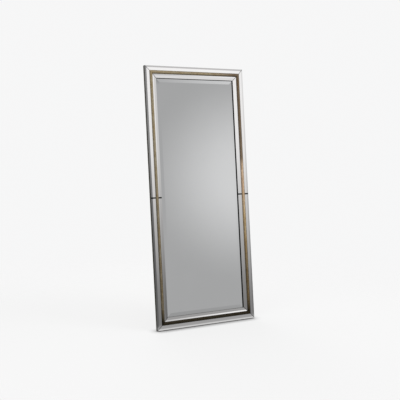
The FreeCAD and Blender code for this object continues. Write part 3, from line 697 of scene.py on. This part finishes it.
def bead_end(side, far_end):
    """The bead's mitred section at an end of a side of the frame."""
    points = []
    for u, height in bead_profile():
        x = (WIDTH / 2 - u) * (1 if far_end else -1)
        z = HEIGHT - u if far_end else u
        if side in ("left", "right"):
            x = (u - WIDTH / 2) if side == "left" else (WIDTH / 2 - u)
        else:
            z = u if side == "bottom" else HEIGHT - u
        points.append(on_frame(x, height, z))
    return points


def make_beads(finishes):
    for side in ("left", "right", "top", "bottom"):
        shell = Shell()
        shell.loft([bead_end(side, False), bead_end(side, True)])
        add_piece("round_bead_" + side, shell, finishes["champagne_leaf"], "frame",
                  ["bead_" + side])


# ---------------------------------------------------------------- screws, rings, pin and bumpers
SCREW_HEAD = [(0.0, 3.5), (0.35, 3.55), (0.95, 3.42), (1.45, 3.0), (1.75, 2.3), (1.92, 1.3), (1.98, 0.4)]
SCREW_HEAD_H = 2.0
SCREW_CORE_R = 1.62
SCREW_CORE_TOP = 0.1              # how far the core goes into the head
SCREW_TIP_L = 3.0
SCREW_TIP_R = 0.25
SCREW_TIP_SHORT = 0.3             # the tip ends this much before the solid's
CROSS_RECESS = ((2.4, 1.95, 0.42), (0.55, 0.9, 0.24))     # height, length of an arm, half its width


def screw_head():
    """Pan head with a cross recess, standing on Z = 0."""
    head = Shell()
    head.turned((0, 0, 0), (0, 0, 1), SCREW_HEAD, 28)
    cutter = Shell()
    rings = []
    for z, arm, half in CROSS_RECESS:
        corners = [(arm, -half), (arm, half), (half, half), (half, arm), (-half, arm), (-half, half),
                   (-arm, half), (-arm, -half), (-half, -half), (-half, -arm), (half, -arm),
                   (half, -half)]
        rings.append([Vector((x, y, z)) * MM for x, y in corners])
    cutter.loft(rings)
    shells = {"head": head, "recess": cutter}
    made = [bpy.data.objects.new(name, shell.mesh(name)) for name, shell in shells.items()]
    for piece in made:
        bpy.context.scene.collection.objects.link(piece)
    cut = made[0].modifiers.new("recess", "BOOLEAN")
    cut.object = made[1]
    cut.solver = "EXACT"
    graph = bpy.context.evaluated_depsgraph_get()
    mesh = bpy.data.meshes.new_from_object(made[0].evaluated_get(graph))
    for piece in made:
        bpy.data.objects.remove(piece)
    return mesh


def make_screws(finishes):
    head = screw_head()
    chance = random.Random(7)
    for node in ("brace_screws", "clip_screws", "hanger_screws", "batten_screws", "clevis_screws"):
        shell = Shell()
        for points in solids_of(node):
            tip, top = span(points, BACKWARD)
            seat = top - SCREW_HEAD_H * MM
            place = axis_place(points, seat)
            turn = Matrix.Rotation(chance.uniform(0, math.pi / 2), 4, "Z")
            face = BACKWARD.to_track_quat("Z", "Y").to_matrix().to_4x4()
            shell.add_copy(head, Matrix.Translation(place) @ face @ turn)
            length = (seat - tip) / MM
            shank = [(SCREW_CORE_TOP, SCREW_CORE_R), (SCREW_TIP_L - length, SCREW_CORE_R),
                     (SCREW_TIP_SHORT - length, SCREW_TIP_R)]
            shell.turned(place, BACKWARD, shank, 16)
        add_piece("cross_head_" + node, shell, finishes["zinc_steel"], "frame", [node])


RING_WIRE_R = 2.0
RING_R = 15.0
RING_CORNER_R = 4.0
RING_SECTION = 20


def make_rings(finishes):
    """Smooth wire bent to a D, hanging plumb from its pivot."""
    pivots = {joint["name"]: Vector(joint["pos_m"]) for joint in frame["joints"]}
    reach = RING_R - RING_CORNER_R
    bends = [(reach, RING_CORNER_R, 90, 0, 12), (0, RING_R, 0, -180, 48),
             (-reach, RING_CORNER_R, -180, -270, 12)]
    path = []
    for x, radius, start, end, steps in bends:
        turns = [math.radians(start + (end - start) * number / steps) for number in range(steps)]
        path += [(x, radius, turn) for turn in turns]
    path.append((-reach, RING_CORNER_R, math.radians(-270)))
    for side in ("left", "right"):
        pivot = pivots["ring_swing_" + side]
        sections = []
        for x, radius, turn in path:
            section = []
            for number in range(RING_SECTION):
                angle = 2 * math.pi * number / RING_SECTION
                out = radius + RING_WIRE_R * math.cos(angle)
                place = Vector((x + out * math.cos(turn), RING_WIRE_R * math.sin(angle),
                                out * math.sin(turn) - RING_CORNER_R))
                section.append(pivot + place * MM)
            sections.append(section)
        shell = Shell()
        shell.loft(sections, closed=True)
        add_piece("wire_ring_" + side, shell, finishes["zinc_steel"], "ring_" + side,
                  ["d_ring_" + side])


# one domed head of the pin: distance from its outer face, and radius
RIVET = [(0.0, 2.2), (0.30, 4.3), (0.85, 5.8), (1.45, 6.4), (2.0, 6.5), (2.0, 4.0)]


def make_pin(finishes):
    """Riveted pin with domed heads."""
    low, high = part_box("easel_pin")
    length = (high.x - low.x) / MM
    other_end = [(length - along, radius) for along, radius in reversed(RIVET)]
    start = (low.x, (low.y + high.y) / 2, (low.z + high.z) / 2)
    shell = Shell()
    shell.turned(start, (1, 0, 0), RIVET + other_end, 36)
    add_piece("riveted_easel_pin", shell, finishes["zinc_steel"], "frame", ["easel_pin"])


# a bumper from its base to the bottom of its sunk middle: height, and radius
BUMPER = [(0.0, 8.9), (0.6, 9.0), (5.9, 7.2), (7.1, 6.6), (7.8, 5.8), (8.0, 4.9), (7.9, 3.9), (7.4, 3.4),
          (4.6, 3.1), (4.2, 2.6), (4.2, 0.6)]


def make_bumpers(finishes):
    """Round rubber bumpers with a soft rim and a sunk middle."""
    shell = Shell()
    for points in solids_of("wall_bumpers"):
        base = span(points, BACKWARD)[0]
        shell.turned(axis_place(points, base), BACKWARD, BUMPER, 40)
    add_piece("rubber_wall_bumpers", shell, finishes["black_rubber"], "frame",
              ["wall_bumpers"])


bpy.context.scene.view_settings.view_transform = "Standard"
make_camera()
make_world()
make_floor()
make_lamps()
finishes = make_finishes()
dress_nodes(finishes)
make_beads(finishes)
make_screws(finishes)
make_rings(finishes)
make_pin(finishes)
make_bumpers(finishes)
